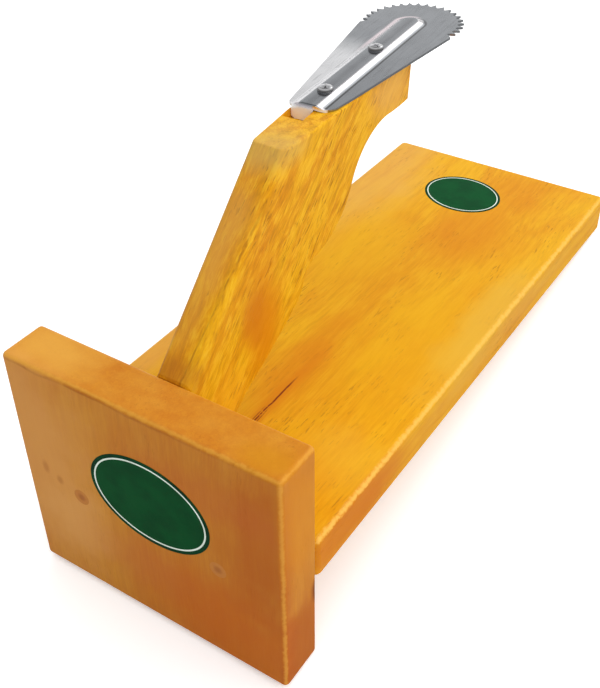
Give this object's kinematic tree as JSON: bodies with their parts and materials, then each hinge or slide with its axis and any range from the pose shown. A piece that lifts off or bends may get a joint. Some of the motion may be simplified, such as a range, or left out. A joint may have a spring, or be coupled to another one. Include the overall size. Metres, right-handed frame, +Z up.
{
  "type": "coconut scraper",
  "caption": "Wooden coconut scraper: a plank with a stop board that hooks over a counter's edge, a leaning neck and a round toothed steel blade on top.",
  "frame": {"origin": "inside corner of the hook, in the middle of the width: the plank's underside at the stop board's back face", "axes": "+Z up off the counter's top, +Y along the plank away from the user, +X to the user's right"},
  "size_m": [0.15, 0.3765, 0.2188],
  "materials": {
    "plank_wood": "clear varnish",
    "stop_wood": "clear varnish",
    "neck_wood": "clear varnish",
    "blade_steel": "brushed",
    "screw_steel": "zinc plated",
    "filler": "wood filler under varnish"
  },
  "bodies": {
    "root": {"base_plank": "plank_wood", "stop_board": "stop_wood", "neck": "neck_wood", "scraper_blade": "blade_steel", "blade_screws": "screw_steel", "plank_screws": "screw_steel", "plank_screw_fillers": "filler", "neck_screws": "screw_steel", "neck_screw_fillers": "filler"}
  },
  "joints": []
}
